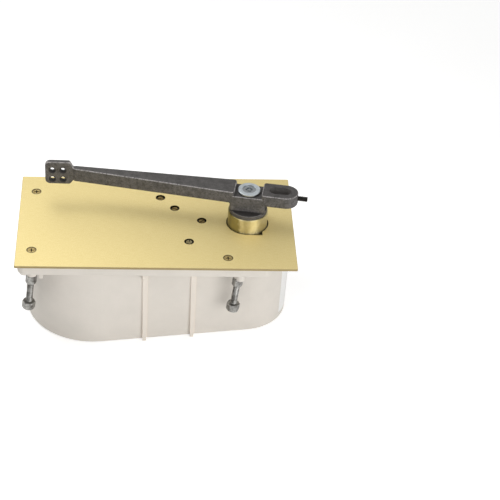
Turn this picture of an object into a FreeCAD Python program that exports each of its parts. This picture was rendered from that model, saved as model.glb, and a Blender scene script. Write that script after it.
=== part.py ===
import FreeCAD, Part
import math
import os

# Floor spring door closer. Millimetres. The origin is on the spindle axis at the top of the cover plate,
# +Z is up, +X points to the spindle end of the pit and -Y is the side the door opens to.

# Cover plate
plate_overhang = 3.0
plate_right = 56.0
plate_width = 186.0
plate_thick = 3.0
plate_corner_r = 1.5
plate_edge = 0.4
plate_screw_inset = 16.0
plate_screw_left_y = 60.5
plate_screw_right_x = -26.0
plate_screw_right_y = 72.0
plate_screw_head_r = 6.0
plate_screw_sunk = 0.5
plate_screw_r = 2.5
plate_screw_len = 14.0
plate_sink_left = 0.6
plate_hole_gap = 0.3
plate_sink_gap = 0.25
cross_width = 1.5
cross_span = 6.4
cross_depth = 1.6
valve_window_r = 5.9
collar_window_gap = 1.6
notch_x0 = 4.0
notch_x1 = 17.4

# Cement case: two round ends joined by tangent walls with a little draft
case_left_x = -189.0
case_right_x = -4.0
case_bottom_z = -125.0
case_big_r = 83.0
case_small_r = 56.5
case_draft = 1.3
case_wall = 5.0
case_floor = 6.0
deck_end = 5.0
deck_right = 26.5
deck_inset = 2.0
deck_thick = 6.0
deck_skirt = 12.5
deck_skirt_wall = 4.0
deck_corner_r = 9.0
deck_edge_r = 3.0
case_edge_r = 3.0
screw_boss_r = 7.0
screw_boss_drop = 10.0
rib_x = (-124.5, -66.0)
rib_top_w = 6.2
rib_foot_w = 4.4
rib_proud = 4.0
rib_root = 9.0
gusset_drop = 14.0
bury = 3.0
web_thick = 5.0
web_beside = 11.1
web_drop = 26.0
web_reach = 33.0

# Levelling bolts, leaning slightly as they hang
bolt_lean = 6.0
bolt_inset = 16.4
bolt_right_x = -13.2
bolt_y = 79.0
bolt_pivot_z = -25.0
bolt_r = 4.0
bolt_top = 19.0
bolt_len = 57.0
bolt_head_h = 10.0
bolt_boss_wall = 2.0
bolt_boss_end_z = -22.6
lev_nut_h = 12.5
thread_gap = 0.06
bolt_pitch = 1.5
thread_depth = 0.5
hex_chamfer = 1.2
left_lug_shift = -9.0
left_lug_r = 5.0
left_lug_drop = 5.0
right_lug_shift = 2.2
right_lug_r = 5.0
right_lug_drop = 6.0

# Closer body and lid
body_gap = 8.0
body_wall = 7.5
body_floor = 7.0
body_top_z = -22.0
gasket_thick = 1.0
lid_thick = 8.0
lid_screw_r = 2.5
lid_screw_head_r = 4.2
lid_screw_head_h = 4.5
lid_screw_len = 16.0
lid_socket_af = 4.0
lid_socket_deep = 2.5
lid_screw_x = (-144.0, -39.0)
lid_screw_big_deg = (112.0, 148.0, 180.0, 212.0, 248.0)
lid_screw_small_deg = (-42.0, 42.0)
spindle_boss_wall = 11.0
spindle_boss_h = 5.0
lug_x = (-154.0, -64.0)
lug_len = 16.0
lug_high = 9.0
lug_clear = 1.9
hold_screw_r = 2.9
hold_screw_head_r = 3.2
hold_screw_out = 4.0
hold_screw_head_h = 5.0
hold_screw_bite = 5.0
hole_gap = 0.1
gasket_hole_gap = 0.2

# Adjusting valves and filler, set by the four windows of the cover plate
latch_xy = (-106.0, 50.0)
sweep_xy = (-88.5, 28.0)
backcheck_xy = (-55.7, 2.7)
filler_xy = (-72.0, -40.5)
valve_boss_r = 8.0
valve_boss_h = 5.5
valve_stem_r = 2.8
valve_stem_end_z = -29.0
valve_head_r = 3.6
valve_head_top_z = -1.0
valve_slot_w = 1.2
valve_slot_depth = 1.6
valve_tip_h = 4.0
valve_tip_r = 1.0
valve_lift = 0.02
filler_head_top_z = -0.6
filler_washer_thick = 1.2
filler_end_z = -24.0
filler_slot_depth = 2.0
latch_slot_deg = 20.0
sweep_slot_deg = -25.0
backcheck_slot_deg = 40.0
filler_slot_deg = 78.0

# Spindle, collar and bearings
spindle_r = 13.0
pilot_step = 3.5
pilot_sunk = 4.0
square_side = 18.9
square_top_z = 41.8
collar_r = 24.25
collar_top_z = 19.4
collar_bottom_z = -6.5
collar_edge = 0.6
run_gap = 0.05
fit_gap = 0.03
bush_wall = 3.0
seal_wall = 5.0
seal_high = 3.0
race_step = 7.0
race_thick = 2.5
race_gap = 0.3
square_corner = 0.5
ball_r = 2.5
ball_count = 12

# Cam and follower: the pitch curve grows evenly with the turn of the spindle
mech_above_mid = 3.0
cam_thick = 24.0
cam_wall = 2.0
cam_rise = 8.0
cam_turn_deg = 126.0
cam_dwell_deg = 40.0
cam_lead_deg = 14.0
cam_over_deg = 6.0
cam_room = 1.5
cam_steps = 14
key_w = 5.0
key_deep = 2.5
roller_r = 8.8
roller_gap = 0.3
roller_len = 23.0
roller_pin_r = 4.0
fork_thick = 5.0
fork_gap = 0.5
fork_nose_r = 8.5
pin_past = 1.0
fork_half = 11.0
cross_behind = 15.9
cross_long = 18.0
cross_half_y = 34.0
cross_above = 22.0
cross_below = 34.0
rod_y = 26.0
rod_below = 25.0
rod_r = 5.0
rod_past = 9.0

# Spring, damper and abutment
abut_behind = 15.0
abut_long = 12.0
abut_half_y = 44.0
abut_above = 28.0
stop_rib_half_y = 30.0
stop_rib_long = 8.0
spring_mean_r = 23.0
spring_wire_r = 4.0
spring_turns = 7.0
cyl_out_r = 18.0
cyl_bore_r = 13.0
cyl_end_gap = 38.0
gland_long = 8.0
gland_spigot = 4.0
piston_start = 12.0
piston_long = 18.0
piston_gap = 0.05
piston_rod_r = 5.0
ring_wide = 3.0
ring_deep = 2.0
check_ball_r = 2.0
check_seat_r = 1.2
check_y = 8.0
check_in = 3.0
cyl_sunk = 8.0
piston_clear = 0.15
rod_sunk = 12.0
rod_in_piston = 5.0
stop_rib_foot = 6.0

# Door arm, drawn along -X and then turned to the way it stands at rest
arm_rest_deg = 10.5
arm_half_hub = 14.5
arm_half_neck = 4.0
arm_bottom_z = 36.0
arm_top_z = 52.0
neck_x = -215.5
shoulder_long = 6.0
neck_low_z = 33.4
paddle_x0 = -252.0
paddle_half = 3.2
paddle_turn_deg = 8.5
paddle_shift_y = 0.5
paddle_low_z = 28.0
paddle_high_z = 60.0
paddle_corner_r = 6.0
paddle_hole_span = 13.0
paddle_hole_z = 41.5
paddle_hole_r = 2.9
paddle_sink_r = 4.2
paddle_sink_deep = 1.6
hub_flange_r = 23.0
hub_flange_thick = 5.6
hub_half_x = 21.2
channel_x0 = -16.5
channel_x1 = 16.6
channel_floor_z = 46.3
tail_end_x = 59.6
tail_slot_x0 = 31.3
tail_slot_x1 = 44.2
tail_slot_r = 6.8
tail_slot_floor_z = 38.5
arm_edge_r = 1.5
shoulder_r = 3.0
neck_step = 0.15
channel_corner_r = 3.5
neck_lap = 2.0
tail_low_r = 2.5
bridge_half = 14.2
bridge_lap = 6.0
bridge_edge_r = 1.2
hub_block_half = 14.0
hub_fill_r = 4.5
hub_fill_half = 11.5
hub_corner_r = 2.5
hub_flange_edge_r = 1.2
square_gap = 0.05
square_above = 0.3
arm_bolt_gap = 0.2
arm_bolt_head_r = 13.7
arm_bolt_head_h = 3.6
arm_bolt_r = 5.0
arm_bolt_end_z = 24.0
arm_bolt_step_r = 8.3
arm_bolt_step_deep = 1.0
arm_bolt_socket_af = 8.4
arm_bolt_socket_deep = 3.0
arm_bolt_pin_r = 1.9
arm_bolt_pin_down = 1.2
arm_bolt_edge = 0.8
arm_bolt_under = 1.8
set_screw_r = 3.2
set_screw_z = 44.5
set_screw_out_x = 71.0
set_screw_in_x = 47.5
set_screw_pitch = 1.0
set_screw_socket_af = 3.0
set_screw_socket_deep = 3.5

UP = FreeCAD.Vector(0, 0, 1)
ORIGIN = FreeCAD.Vector(0, 0, 0)


def vec(x, y, z):
    return FreeCAD.Vector(x, y, z)


def box(x0, x1, y0, y1, z0, z1):
    return Part.makeBox(x1 - x0, y1 - y0, z1 - z0, vec(x0, y0, z0))


def rod(x, y, z0, z1, r):
    return Part.makeCylinder(r, z1 - z0, vec(x, y, z0))


def rod_x(x0, x1, y, z, r):
    return Part.makeCylinder(r, x1 - x0, vec(x0, y, z), vec(1, 0, 0))


def ring(x, y, z0, z1, r_in, r_out):
    return rod(x, y, z0, z1, r_out).cut(rod(x, y, z0, z1, r_in))


def ring_x(x0, x1, y, z, r_in, r_out):
    return rod_x(x0, x1, y, z, r_out).cut(rod_x(x0, x1, y, z, r_in))


def hexagon(x, y, z0, z1, across_flats):
    r = across_flats / math.sqrt(3)
    points = []
    for i in range(7):
        a = math.radians(60 * i)
        points.append(vec(x + r * math.cos(a), y + r * math.sin(a), z0))
    return Part.Face(Part.makePolygon(points)).extrude(vec(0, 0, z1 - z0))


def hex_chamfered(x, y, z0, z1, across_flats):
    # A hexagon with its corners turned off at both ends
    blank = rod(x, y, z0, z1, across_flats / math.sqrt(3))
    ends = [e for e in blank.Edges if len(e.Vertexes) == 1]
    return hexagon(x, y, z0, z1, across_flats).common(blank.makeChamfer(hex_chamfer, ends))


def threaded_rod(x, y, z0, z1, r, pitch):
    # A rod with the ridges of a thread, turned in one piece
    root = r - thread_depth
    count = round((z1 - z0) / pitch)
    step = (z1 - z0) / count
    points = [vec(x, y, z0), vec(x + root, y, z0)]
    for i in range(count):
        points.append(vec(x + r, y, z0 + (i + 0.5) * step))
        points.append(vec(x + root, y, z0 + (i + 1) * step))
    points.append(vec(x, y, z1))
    return Part.Face(Part.makePolygon(points + points[:1])).revolve(vec(x, y, 0), UP, 360)


def side_slab(points, half):
    # A side outline given as x, z pairs, drawn out to both sides of the arm's middle
    outline = [vec(x, -half, z) for x, z in points]
    return Part.Face(Part.makePolygon(outline + outline[:1])).extrude(vec(0, 2 * half, 0))


def edges_at(shape, z):
    # The level edges of a shape at one height
    return [e for e in shape.Edges if abs(e.BoundBox.ZMin - z) < 0.01 and abs(e.BoundBox.ZMax - z) < 0.01]


def rounded_box(x0, x1, y0, y1, z0, z1, r):
    solid = box(x0, x1, y0, y1, z0, z1)
    upright = [e for e in solid.Edges if abs(e.tangentAt(e.FirstParameter).z) > 0.9]
    return solid.makeFillet(r, upright)


def boat_wire(big_r, small_r, z):
    # Outline of the two round ends and the tangent walls between them
    lean = math.asin((big_r - small_r) / (case_right_x - case_left_x))
    c, s = math.cos(lean), math.sin(lean)
    front_big = vec(case_left_x + big_r * s, -big_r * c, z)
    front_small = vec(case_right_x + small_r * s, -small_r * c, z)
    back_big = vec(case_left_x + big_r * s, big_r * c, z)
    back_small = vec(case_right_x + small_r * s, small_r * c, z)
    return Part.Wire([
        Part.LineSegment(front_big, front_small).toShape(),
        Part.Arc(front_small, vec(case_right_x + small_r, 0, z), back_small).toShape(),
        Part.LineSegment(back_small, back_big).toShape(),
        Part.Arc(back_big, vec(case_left_x - big_r, 0, z), front_big).toShape(),
    ])


def boat(big_r, small_r, z0, z1):
    return Part.Face(boat_wire(big_r, small_r, z0)).extrude(vec(0, 0, z1 - z0))


def drafted_boat(big_r, small_r, z0, z1):
    grow = (z1 - z0) * math.tan(math.radians(case_draft))
    wires = [boat_wire(big_r, small_r, z0), boat_wire(big_r + grow, small_r + grow, z1)]
    return Part.makeLoft(wires, True, True)


def wall_y(big_r, small_r, x):
    # Half width of an outline between the two round ends
    lean = math.asin((big_r - small_r) / (case_right_x - case_left_x))
    return small_r / math.cos(lean) - (x - case_right_x) * math.tan(lean)


def leaned(shape, x):
    # Turns an upright bolt piece about its lug
    shape.rotate(vec(x, 0, bolt_pivot_z), vec(0, 1, 0), bolt_lean)
    return shape


def arm_turned(shape):
    shape.rotate(ORIGIN, UP, -arm_rest_deg)
    return shape


def fuse(shapes):
    return shapes[0].multiFuse(shapes[1:]).removeSplitter()


os.makedirs("parts", exist_ok=True)


def save(name, shape):
    shape.exportStep("parts/" + name + ".step")


deck_left = case_left_x - case_big_r - deck_end
plate_left = deck_left - plate_overhang
plate_screw_left_x = deck_left + plate_screw_inset
bolt_left_x = deck_left + bolt_inset
web_x = bolt_left_x + web_beside
bolt_boss_r = bolt_r + bolt_boss_wall
bolt_head_af = 3.5 * bolt_r
lev_nut_af = 2.9 * bolt_r
plate_bottom_z = -plate_thick
plate_half = plate_width / 2
deck_half = plate_half - deck_inset
deck_under_z = plate_bottom_z - deck_thick
skirt_under_z = plate_bottom_z - deck_skirt
case_floor_z = case_bottom_z + case_floor
body_big_r = case_big_r - case_wall - body_gap
body_small_r = case_small_r - case_wall - body_gap
pocket_big_r = body_big_r - body_wall
pocket_small_r = body_small_r - body_wall
pocket_floor_z = case_floor_z + body_floor
lid_under_z = body_top_z + gasket_thick
lid_top_z = lid_under_z + lid_thick
spindle_pilot_r = spindle_r - pilot_step
spindle_boss_r = spindle_r + spindle_boss_wall
race_r = spindle_r + race_step
ball_pitch_r = (spindle_pilot_r + race_r) / 2
spindle_foot_z = pocket_floor_z + 2 * race_thick + 2 * ball_r + run_gap
pilot_end_z = pocket_floor_z - pilot_sunk
mech_z = (pocket_floor_z + body_top_z) / 2 + mech_above_mid
cam_base_r = spindle_r + cam_wall
cam_sweep_r = cam_base_r + cam_rise * math.radians(cam_turn_deg + cam_over_deg)
cam_low_z = mech_z - cam_thick / 2
roller_x = -(cam_base_r + roller_r + roller_gap)
cross_x1 = roller_x - cross_behind
cross_x0 = cross_x1 - cross_long
cross_top_z = mech_z + cross_above
cross_bottom_z = mech_z - cross_below
rod_z = mech_z - rod_below
rod_end_x = cross_x1 + rod_past
abut_x0 = case_left_x - abut_behind
abut_x1 = abut_x0 + abut_long
abut_top_z = mech_z + abut_above
cyl_end_x = cross_x0 - cyl_end_gap
piston_x1 = cyl_end_x - piston_start
plate_screws = []
for side in (-1, 1):
    plate_screws.append((plate_screw_left_x, side * plate_screw_left_y))
    plate_screws.append((plate_screw_right_x, side * plate_screw_right_y))
bolt_spots = []
for end_name, bolt_x in (("left", bolt_left_x), ("right", bolt_right_x)):
    for side_name, side in (("front", -1), ("back", 1)):
        bolt_spots.append((end_name + "_" + side_name, bolt_x, side * bolt_y))
windows = (latch_xy, sweep_xy, backcheck_xy, filler_xy)


# Cement case with its deck, ribs and lugs
tub = drafted_boat(case_big_r, case_small_r, case_bottom_z, plate_bottom_z)
tub = tub.makeFillet(case_edge_r, edges_at(tub, case_bottom_z))
inner_grow = case_floor * math.tan(math.radians(case_draft))
hollow_big_r = case_big_r - case_wall + inner_grow
hollow_small_r = case_small_r - case_wall + inner_grow
hollow = drafted_boat(hollow_big_r, hollow_small_r, case_floor_z, plate_bottom_z + 1)
deck = rounded_box(
    deck_left, deck_right, -deck_half, deck_half, skirt_under_z, plate_bottom_z, deck_corner_r)
deck = deck.makeFillet(deck_edge_r, edges_at(deck, skirt_under_z))
deck_hollow = rounded_box(
    deck_left + deck_skirt_wall, deck_right - deck_skirt_wall, -deck_half + deck_skirt_wall,
    deck_half - deck_skirt_wall, skirt_under_z - 1, deck_under_z, deck_corner_r - deck_skirt_wall)
case_parts = [tub, deck.cut(deck_hollow)]
for sx, sy in plate_screws:
    case_parts.append(rod(sx, sy, deck_under_z - screw_boss_drop, plate_bottom_z, screw_boss_r))
for end_name, bx, by in bolt_spots:
    boss = rod(bx, by, bolt_boss_end_z, deck_under_z + bury, bolt_boss_r)
    case_parts.append(leaned(boss, bx))
    side = math.copysign(1, by)
    if end_name.startswith("left"):
        case_parts.append(rod(
            bx + left_lug_shift, by, skirt_under_z - left_lug_drop, deck_under_z + bury, left_lug_r))
        web_ys = sorted((side * web_reach, by))
        case_parts.append(box(
            web_x - web_thick / 2, web_x + web_thick / 2, web_ys[0], web_ys[1],
            plate_bottom_z - web_drop, deck_under_z + bury))
    else:
        lug_y = side * (deck_half - right_lug_r)
        case_parts.append(rod(
            bx + right_lug_shift, lug_y, skirt_under_z - right_lug_drop, deck_under_z + bury, right_lug_r))
for rx in rib_x:
    wall = wall_y(case_big_r, case_small_r, rx)
    for side in (-1, 1):
        outer = side * (wall + rib_proud)
        top_outer = side * (deck_half - deck_edge_r)
        points = [
            vec(rx - rib_foot_w / 2, outer, case_bottom_z), vec(rx + rib_foot_w / 2, outer, case_bottom_z),
            vec(rx + rib_top_w / 2, outer, skirt_under_z), vec(rx - rib_top_w / 2, outer, skirt_under_z)]
        foot = Part.makePolygon(points + points[:1])
        case_parts.append(Part.Face(foot).extrude(vec(0, -side * (rib_proud + rib_root), 0)))
        left = rx - rib_top_w / 2
        shelf = [
            vec(left, side * wall, skirt_under_z - gusset_drop),
            vec(left, outer, skirt_under_z - gusset_drop),
            vec(left, top_outer, skirt_under_z), vec(left, top_outer, deck_under_z + bury),
            vec(left, side * wall, deck_under_z + bury)]
        case_parts.append(Part.Face(Part.makePolygon(shelf + shelf[:1])).extrude(vec(rib_top_w, 0, 0)))
case = fuse(case_parts).cut(hollow)
case_cuts = []
for sx, sy in plate_screws:
    case_cuts.append(rod(sx, sy, plate_bottom_z - plate_screw_len - 1, 0, plate_screw_r + thread_gap))
for end_name, bx, by in bolt_spots:
    case_cuts.append(leaned(rod(bx, by, bolt_boss_end_z - 1, 1, bolt_r + thread_gap), bx))
hold_spots = []
for hx in lug_x:
    body_side = wall_y(body_big_r, body_small_r, hx)
    for side in (-1, 1):
        hold_spots.append((hx, side * (body_side + hold_screw_out)))
for hx, hy in hold_spots:
    case_cuts.append(rod(
        hx, hy, case_floor_z - hold_screw_bite - thread_gap, case_floor_z + 1, hold_screw_r + thread_gap))
case = case.cut(Part.makeCompound(case_cuts))
save("cement_case", case)

# Cover plate with the collar window, its square relief and the four adjusting windows
plate = rounded_box(plate_left, plate_right, -plate_half, plate_half, plate_bottom_z, 0, plate_corner_r)
plate = plate.makeChamfer(plate_edge, edges_at(plate, 0))
window_r = collar_r + collar_window_gap
plate_cuts = [
    rod(0, 0, plate_bottom_z - 1, 1, window_r),
    box(notch_x0, notch_x1, -window_r, 0, plate_bottom_z - 1, 1)]
for wx, wy in windows:
    plate_cuts.append(rod(wx, wy, plate_bottom_z - 1, 1, valve_window_r))
sink_depth = plate_thick - plate_sink_left
sink_r = plate_screw_head_r + plate_sink_gap
for sx, sy in plate_screws:
    plate_cuts.append(Part.makeCone(
        plate_screw_r + plate_hole_gap, sink_r, sink_depth, vec(sx, sy, -sink_depth)))
    plate_cuts.append(rod(sx, sy, plate_bottom_z - 1, 0, plate_screw_r + plate_hole_gap))
plate = plate.cut(Part.makeCompound(plate_cuts))
save("cover_plate", plate)

# Countersunk plate screws with a cross recess, standing a little below the plate
screw_head_h = sink_depth - plate_screw_sunk
screw_top_r = plate_screw_r + (plate_screw_head_r - plate_screw_r) * screw_head_h / sink_depth
screws = []
for sx, sy in plate_screws:
    head = Part.makeCone(plate_screw_r, screw_top_r, screw_head_h, vec(sx, sy, -sink_depth))
    shank = rod(sx, sy, plate_bottom_z - plate_screw_len, -sink_depth, plate_screw_r)
    half, span = cross_width / 2, cross_span / 2
    cross = fuse([
        box(sx - span, sx + span, sy - half, sy + half, -cross_depth, 1),
        box(sx - half, sx + half, sy - span, sy + span, -cross_depth, 1)])
    screws.append(fuse([head, shank]).cut(cross))
save("cover_plate_screws", Part.makeCompound(screws))

# Levelling bolts and the nuts they turn in
nuts = []
for name, bx, by in bolt_spots:
    top_z = bolt_pivot_z + bolt_top
    shank = threaded_rod(bx, by, top_z - bolt_len, top_z, bolt_r, bolt_pitch)
    head = hex_chamfered(bx, by, top_z - bolt_len - bolt_head_h, top_z - bolt_len, bolt_head_af)
    save("levelling_bolt_" + name, leaned(fuse([shank, head]), bx))
    nut_top = bolt_boss_end_z
    nut = hex_chamfered(bx, by, nut_top - lev_nut_h, nut_top, lev_nut_af)
    bore = rod(bx, by, nut_top - lev_nut_h - 1, nut_top + 1, bolt_r + thread_gap)
    nuts.append(leaned(nut.cut(bore), bx))
save("levelling_nuts", Part.makeCompound(nuts))

# Closer body: the pot that holds oil and mechanism
body_parts = [boat(body_big_r, body_small_r, case_floor_z, body_top_z)]
for hx, hy in hold_spots:
    side = math.copysign(1, hy)
    wall = wall_y(body_big_r, body_small_r, hx)
    lug_ys = sorted((side * (wall - bury), side * (wall + body_gap - lug_clear)))
    body_parts.append(box(
        hx - lug_len / 2, hx + lug_len / 2, lug_ys[0], lug_ys[1], case_floor_z, case_floor_z + lug_high))
body = fuse(body_parts)
pocket = boat(pocket_big_r, pocket_small_r, pocket_floor_z, body_top_z + 1)
stop_ribs = boat(pocket_big_r, pocket_small_r, pocket_floor_z, abut_top_z).common(
    box(abut_x0 - stop_rib_long, abut_x0, -plate_half, plate_half, case_bottom_z, 0))
stop_ribs = stop_ribs.cut(box(
    abut_x0 - stop_rib_long - 1, abut_x0 + 1, -stop_rib_half_y, stop_rib_half_y,
    pocket_floor_z + stop_rib_foot, 0))
body = fuse([body.cut(pocket), stop_ribs])
lid_spots = []
mid_big_r = body_big_r - body_wall / 2
mid_small_r = body_small_r - body_wall / 2
for lx in lid_screw_x:
    for side in (-1, 1):
        lid_spots.append((lx, side * wall_y(mid_big_r, mid_small_r, lx)))
for deg in lid_screw_big_deg:
    a = math.radians(deg)
    lid_spots.append((case_left_x + mid_big_r * math.cos(a), mid_big_r * math.sin(a)))
for deg in lid_screw_small_deg:
    a = math.radians(deg)
    lid_spots.append((case_right_x + mid_small_r * math.cos(a), mid_small_r * math.sin(a)))
body_cuts = [rod(0, 0, pilot_end_z - 0.5, pocket_floor_z + 1, spindle_pilot_r + run_gap)]
for lx, ly in lid_spots:
    body_cuts.append(rod(lx, ly, lid_top_z - lid_screw_len - 1, 0, lid_screw_r + thread_gap))
for hx, hy in hold_spots:
    body_cuts.append(rod(hx, hy, case_floor_z - 1, case_floor_z + lug_high + 1, hold_screw_r + hole_gap))
for wx, wy in windows:
    body_cuts.append(rod(wx, wy, valve_stem_end_z - 1, 0, valve_stem_r + run_gap))
body_cuts.append(rod(0, 0, cam_low_z - cam_room, body_top_z + 1, cam_sweep_r + cam_room))
save("closer_body", body.cut(Part.makeCompound(body_cuts)))

# Screws that hold the body to the case floor
screws = []
for hx, hy in hold_spots:
    seat = case_floor_z + lug_high
    head = rod(hx, hy, seat, seat + hold_screw_head_h, hold_screw_head_r)
    screws.append(fuse([head, rod(hx, hy, case_floor_z - hold_screw_bite, seat, hold_screw_r)]))
save("hold_down_screws", Part.makeCompound(screws))

# Gasket between body and lid
gasket = boat(body_big_r, body_small_r, body_top_z, lid_under_z).cut(
    boat(pocket_big_r, pocket_small_r, body_top_z - 1, lid_under_z + 1))
gasket_cuts = []
for lx, ly in lid_spots:
    gasket_cuts.append(rod(lx, ly, body_top_z - 1, lid_under_z + 1, lid_screw_r + gasket_hole_gap))
for wx, wy in windows:
    gasket_cuts.append(rod(wx, wy, body_top_z - 1, 0, valve_stem_r + gasket_hole_gap))
save("body_gasket", gasket.cut(Part.makeCompound(gasket_cuts)))

# Lid with the spindle boss and four valve bosses
lid_parts = [
    boat(body_big_r, body_small_r, lid_under_z, lid_top_z),
    rod(0, 0, lid_under_z, lid_top_z + spindle_boss_h, spindle_boss_r)]
for wx, wy in windows:
    lid_parts.append(rod(wx, wy, lid_under_z, lid_top_z + valve_boss_h, valve_boss_r))
lid = fuse(lid_parts)
boss_top_z = lid_top_z + spindle_boss_h
seal_z = boss_top_z - seal_high
lid_cuts = [
    rod(0, 0, lid_under_z - 1, seal_z, spindle_r + bush_wall),
    rod(0, 0, seal_z, boss_top_z + 1, spindle_r + seal_wall)]
for lx, ly in lid_spots:
    lid_cuts.append(rod(lx, ly, lid_under_z - 1, lid_top_z + 1, lid_screw_r + hole_gap))
for wx, wy in windows:
    lid_cuts.append(rod(wx, wy, lid_under_z - 1, 0, valve_stem_r + run_gap))
save("body_lid", lid.cut(Part.makeCompound(lid_cuts)))

# Lid screws with a hexagon socket
screws = []
for lx, ly in lid_spots:
    top_z = lid_top_z + lid_screw_head_h
    head = rod(lx, ly, lid_top_z, top_z, lid_screw_head_r)
    socket = hexagon(lx, ly, top_z - lid_socket_deep, top_z + 1, lid_socket_af)
    screws.append(fuse([head, rod(lx, ly, lid_top_z - lid_screw_len, lid_top_z, lid_screw_r)]).cut(socket))
save("lid_screws", Part.makeCompound(screws))

# Bush and oil seal of the spindle
save("spindle_bush", ring(0, 0, lid_under_z, seal_z, spindle_r + run_gap, spindle_r + bush_wall))
save("oil_seal", ring(0, 0, seal_z, boss_top_z, spindle_r + run_gap, spindle_r + seal_wall))

# Three adjusting valves with a screwdriver slot
boss_z = lid_top_z + valve_boss_h


def valve(spot, slot_deg):
    x, y = spot
    stem = rod(x, y, valve_stem_end_z + valve_tip_h, boss_z + 1, valve_stem_r)
    tip = Part.makeCone(valve_tip_r, valve_stem_r, valve_tip_h, vec(x, y, valve_stem_end_z))
    head = rod(x, y, boss_z + valve_lift, valve_head_top_z, valve_head_r)
    slot = box(
        x - valve_head_r - 1, x + valve_head_r + 1, y - valve_slot_w / 2, y + valve_slot_w / 2,
        valve_head_top_z - valve_slot_depth, valve_head_top_z + 1)
    slot.rotate(vec(x, y, 0), UP, slot_deg)
    return fuse([stem, tip, head]).cut(slot)


save("latch_valve", valve(latch_xy, latch_slot_deg))
save("sweep_valve", valve(sweep_xy, sweep_slot_deg))
save("backcheck_valve", valve(backcheck_xy, backcheck_slot_deg))

# Filler plug on its washer
fx, fy = filler_xy
washer_z = boss_z + filler_washer_thick
save("filler_washer", ring(fx, fy, boss_z, washer_z, valve_stem_r + hole_gap, valve_head_r))
plug_head = rod(fx, fy, washer_z, filler_head_top_z, valve_head_r)
plug_stem = rod(fx, fy, filler_end_z, washer_z, valve_stem_r)
plug_slot = box(
    fx - valve_head_r - 1, fx + valve_head_r + 1, fy - valve_slot_w / 2, fy + valve_slot_w / 2,
    filler_head_top_z - filler_slot_depth, filler_head_top_z + 1)
plug_slot.rotate(vec(fx, fy, 0), UP, filler_slot_deg)
save("filler_plug", fuse([plug_head, plug_stem]).cut(plug_slot))

# Spindle, thrust bearing, cam key and cam
key_z0 = mech_z - cam_thick / 2
key_z1 = mech_z + cam_thick / 2
key_x0 = spindle_r - key_deep
key_x1 = spindle_r + key_deep
square_half = square_side / 2
spindle = fuse([
    rod(0, 0, pilot_end_z, spindle_foot_z, spindle_pilot_r),
    rod(0, 0, spindle_foot_z, collar_top_z, spindle_r),
    box(-square_half, square_half, -square_half, square_half, collar_top_z, square_top_z).common(
        rod(0, 0, collar_top_z, square_top_z, spindle_r - square_corner))])
spindle = arm_turned(spindle).cut(rod(0, 0, arm_bolt_end_z - 2, square_top_z + 1, arm_bolt_r + thread_gap))
spindle = spindle.cut(box(key_x0, spindle_r + 1, -key_w / 2, key_w / 2, key_z0, key_z1))
save("spindle", spindle)

race_top = pocket_floor_z + race_thick
save("lower_bearing_race", ring(0, 0, pocket_floor_z, race_top, spindle_pilot_r + race_gap, race_r))
balls = []
for i in range(ball_count):
    a = 2 * math.pi * i / ball_count
    spot = vec(ball_pitch_r * math.cos(a), ball_pitch_r * math.sin(a), race_top + ball_r)
    balls.append(Part.makeSphere(ball_r, spot))
save("bearing_balls", Part.makeCompound(balls))
upper_race_z = race_top + 2 * ball_r + run_gap
save("upper_bearing_race", ring(0, 0, upper_race_z, spindle_foot_z, spindle_pilot_r + fit_gap, race_r))

save("cam_key", box(key_x0, key_x1, -key_w / 2, key_w / 2, key_z0, key_z1))


def pitch_radius(deg):
    # Path of the roller's centre: the working rise from 180 degrees down, a dwell, then the way back
    turn = 180.0 - deg
    low = cam_base_r + roller_r + roller_gap
    if turn <= cam_turn_deg + cam_over_deg:
        return low + cam_rise * math.radians(turn)
    top = low + cam_rise * math.radians(cam_turn_deg + cam_over_deg)
    past = turn - cam_turn_deg - cam_over_deg - cam_dwell_deg
    if past <= 0:
        return top
    start = low - cam_rise * math.radians(cam_lead_deg)
    share = past / (360.0 - cam_lead_deg - cam_turn_deg - cam_over_deg - cam_dwell_deg)
    return top + (start - top) * (1 - math.cos(math.pi * share)) / 2


def cam_point(deg):
    # The cam's face stands one roller radius and a gap inside the path, square to it
    r = pitch_radius(deg)
    slope = (pitch_radius(deg - 0.01) - r) / math.radians(0.01)
    off = (roller_r + roller_gap) / math.hypot(r, slope)
    a = math.radians(deg)
    along, across = r - off * r, off * slope
    return vec(
        along * math.cos(a) + across * math.sin(a), along * math.sin(a) - across * math.cos(a), key_z0)


work = Part.BSplineCurve()
first_deg = 180.0 + cam_lead_deg
work_turn = cam_lead_deg + cam_turn_deg + cam_over_deg
work_degs = [first_deg - i * work_turn / cam_steps for i in range(cam_steps + 1)]
work.interpolate([cam_point(d) for d in work_degs])
rest_degs = [work_degs[-1] - i * (360.0 - work_turn) / cam_steps for i in range(cam_steps)]
rest = Part.BSplineCurve()
rest.interpolate([cam_point(d) for d in rest_degs] + [cam_point(first_deg)])
cam = Part.Face(Part.Wire([work.toShape(), rest.toShape()])).extrude(vec(0, 0, cam_thick))
cam = cam.cut(rod(0, 0, key_z0 - 1, key_z1 + 1, spindle_r + fit_gap))
cam = cam.cut(box(0, key_x1, -key_w / 2, key_w / 2, key_z0 - 1, key_z1 + 1))
save("cam", cam)

# Brass collar between the pit and the arm
collar = rod(0, 0, collar_bottom_z, collar_top_z, collar_r)
collar = collar.makeChamfer(collar_edge, edges_at(collar, collar_top_z))
save("spindle_collar", collar.cut(rod(0, 0, collar_bottom_z - 1, collar_top_z + 1, spindle_r + fit_gap)))

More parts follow.
